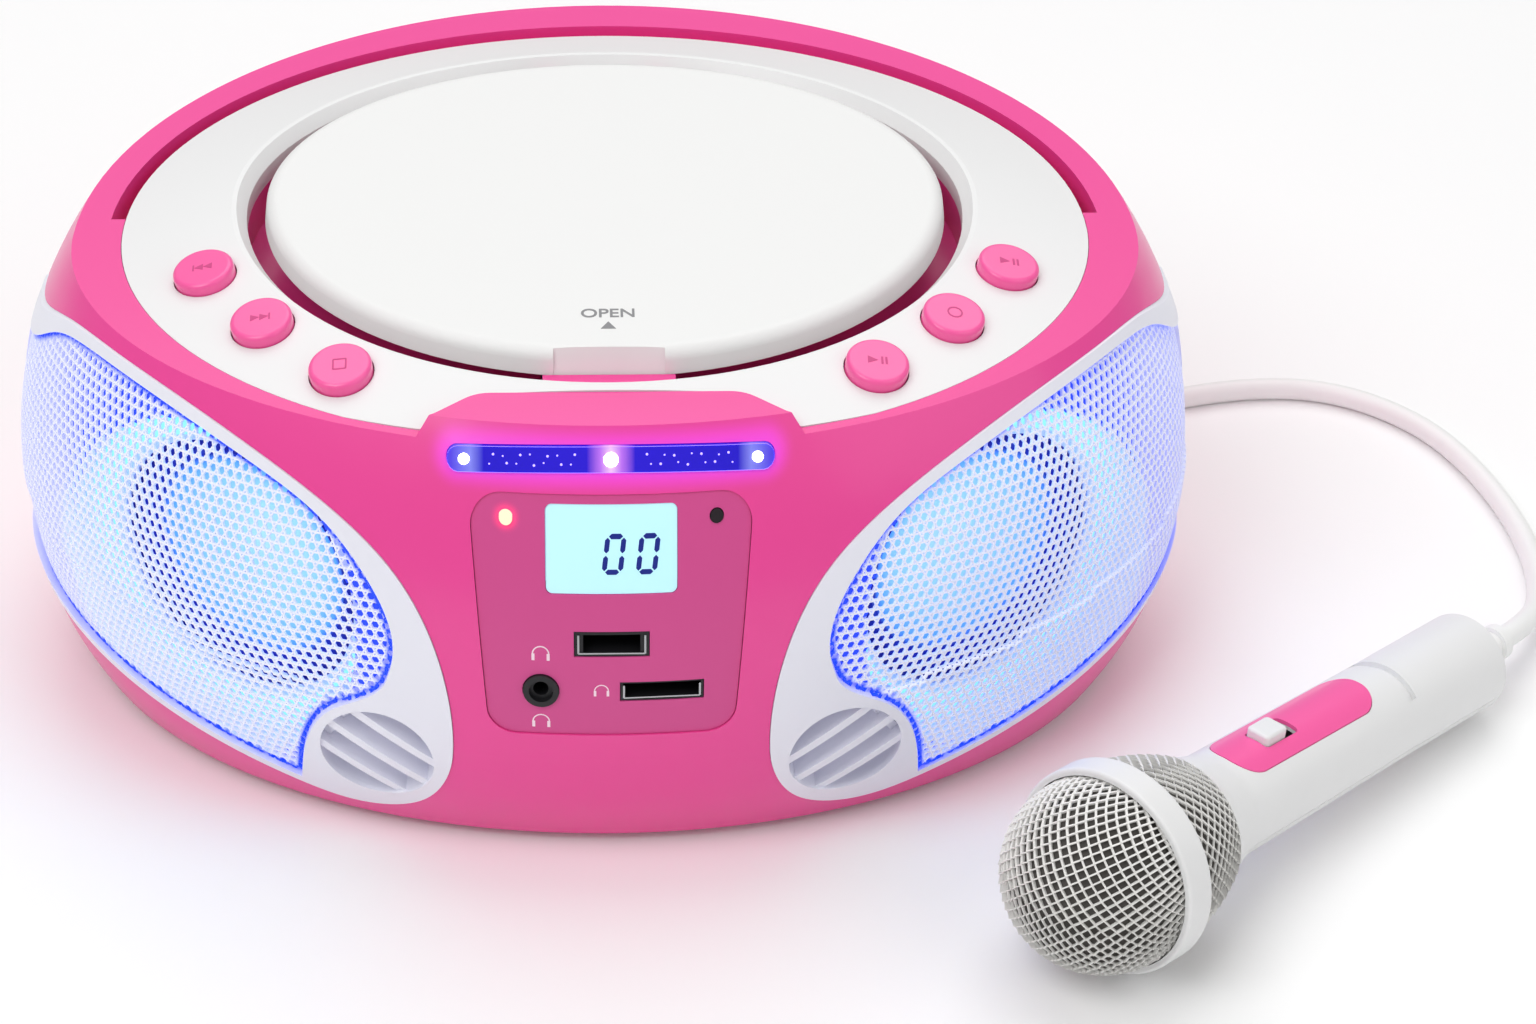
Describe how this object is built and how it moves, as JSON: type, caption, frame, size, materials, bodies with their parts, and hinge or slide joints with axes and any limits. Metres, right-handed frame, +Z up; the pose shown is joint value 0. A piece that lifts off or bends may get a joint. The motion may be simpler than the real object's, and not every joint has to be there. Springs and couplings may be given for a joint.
{
  "type": "karaoke boombox",
  "caption": "Oval portable disc player with a hinged lid, lit side speakers, a moulded rear grip and a corded handheld microphone.",
  "frame": {"origin": "on the floor under the middle of the cabinet", "axes": "+X to the cabinet's right seen from the front, +Y to its back, +Z up"},
  "size_m": [0.3977, 0.4107, 0.1235],
  "materials": {
    "circuit_board": "solder mask",
    "clear_blue": "clear, lit blue",
    "dark_abs": "matt moulded",
    "display_lens": "clear, lit pale blue",
    "ferrite": "matt",
    "iron_core": "varnished",
    "lit_grille": "white perforated sheet lit from behind",
    "mic_mesh": "pale wire mesh",
    "paper_cone": "matt",
    "pink_abs": "gloss moulded",
    "pink_key": "satin moulded",
    "red_lamp": "clear red",
    "rubber": "matt",
    "steel": "plated",
    "white_abs": "satin moulded",
    "white_cord": "satin",
    "zinc_plate": "zinc plated"
  },
  "bodies": {
    "cabinet": {"base_shell": "pink_abs", "battery_box": "dark_abs", "battery_door": "pink_abs", "button_boards": "circuit_board", "card_slot": "steel", "casing_screws": "steel", "control_panel": "pink_abs", "disc_well": "pink_abs", "display": "display_lens", "drive_grommets": "rubber", "drive_plate": "zinc_plate", "front_board": "circuit_board", "grille_left": "lit_grille", "grille_right": "lit_grille", "guide_rods": "steel", "headphone_jack": "dark_abs", "lid_hinge_pin": "steel", "light_bar": "clear_blue", "light_rings": "clear_blue", "main_board": "circuit_board", "mains_inlet": "dark_abs", "mic_jacks": "dark_abs", "power_lamp": "red_lamp", "remote_sensor": "dark_abs", "rubber_feet": "rubber", "speaker_basket_left": "zinc_plate", "speaker_basket_right": "zinc_plate", "speaker_cones": "paper_cone", "speaker_magnets": "ferrite", "spindle_motor": "zinc_plate", "surround_left": "white_abs", "surround_right": "white_abs", "top_deck": "white_abs", "transformer": "iron_core", "upper_shell": "pink_abs", "usb_port": "steel"},
    "microphone": {"mic_body_lower": "white_abs", "mic_body_upper": "white_abs", "mic_coil": "white_cord", "mic_cord": "white_cord", "mic_grille": "mic_mesh", "mic_lead": "white_cord", "mic_plate": "pink_abs", "mic_plug": "white_abs", "mic_relief": "white_cord", "mic_ring": "white_abs"},
    "lid": {"lid_shell": "white_abs"},
    "clamp": {"lid_clamp": "dark_abs"},
    "platter": {"turntable": "dark_abs"},
    "sled": {"pickup": "dark_abs"},
    "gear": {"sled_gear": "white_abs"},
    "mic_slider": {"mic_switch": "white_abs"},
    "power_slider": {"power_switch": "dark_abs"},
    "button_back_body": {"button_back": "pink_key"},
    "button_mode_body": {"button_mode": "pink_key"},
    "button_next_body": {"button_next": "pink_key"},
    "button_pause_body": {"button_pause": "pink_key"},
    "button_play_body": {"button_play": "pink_key"},
    "button_stop_body": {"button_stop": "pink_key"}
  },
  "joints": [
    {"name": "lid_hinge", "type": "hinge", "parent": "cabinet", "child": "lid", "pos_m": [0, 0.0683, 0.11808], "axis": [-1, 0, 0], "range_deg": [0, 65]},
    {"name": "clamp_spin", "type": "hinge", "parent": "lid", "child": "clamp", "pos_m": [0, 0.00392, 0.10449], "axis": [0, -0.0523, 0.9986], "continuous": true},
    {"name": "platter_spin", "type": "hinge", "parent": "cabinet", "child": "platter", "pos_m": [0, 0.004, 0.1031], "axis": [0, -0.0523, 0.9986], "continuous": true},
    {"name": "sled_slide", "type": "slide", "parent": "cabinet", "child": "sled", "axis": [0, -0.9986, -0.0523], "range_m": [0, 0.032]},
    {"name": "gear_spin", "type": "hinge", "parent": "cabinet", "child": "gear", "pos_m": [-0.023, -0.02746, 0.11106], "axis": [0, -0.0523, 0.9986], "range_deg": [-368, 0]},
    {"name": "mic_slider_slide", "type": "slide", "parent": "microphone", "child": "mic_slider", "axis": [0.7213, 0.6868, -0.0895], "range_m": [0, 0.004]},
    {"name": "power_slider_slide", "type": "slide", "parent": "cabinet", "child": "power_slider", "axis": [1, 0, 0], "range_m": [0, 0.004]},
    {"name": "plug_pull", "type": "slide", "parent": "cabinet", "child": "microphone", "axis": [0, 1, 0], "range_m": [0, 0.032]},
    {"name": "button_back_press", "type": "slide", "parent": "cabinet", "child": "button_back_body", "axis": [0.1916, 0.1318, -0.9726], "range_m": [0, 0.0015], "stiffness_N_per_m": 400, "springref_m": -0.001},
    {"name": "button_mode_press", "type": "slide", "parent": "cabinet", "child": "button_mode_body", "axis": [-0.159, 0.1849, -0.9698], "range_m": [0, 0.0015], "stiffness_N_per_m": 400, "springref_m": -0.001},
    {"name": "button_next_press", "type": "slide", "parent": "cabinet", "child": "button_next_body", "axis": [0.159, 0.1849, -0.9698], "range_m": [0, 0.0015], "stiffness_N_per_m": 400, "springref_m": -0.001},
    {"name": "button_pause_press", "type": "slide", "parent": "cabinet", "child": "button_pause_body", "axis": [-0.1158, 0.2237, -0.9678], "range_m": [0, 0.0015], "stiffness_N_per_m": 400, "springref_m": -0.001},
    {"name": "button_play_press", "type": "slide", "parent": "cabinet", "child": "button_play_body", "axis": [-0.1916, 0.1318, -0.9726], "range_m": [0, 0.0015], "stiffness_N_per_m": 400, "springref_m": -0.001},
    {"name": "button_stop_press", "type": "slide", "parent": "cabinet", "child": "button_stop_body", "axis": [0.1158, 0.2237, -0.9678], "range_m": [0, 0.0015], "stiffness_N_per_m": 400, "springref_m": -0.001}
  ],
  "couplings": [
    {"joint": "gear_spin", "follows": "sled_slide", "rad_per_m": -200}
  ]
}
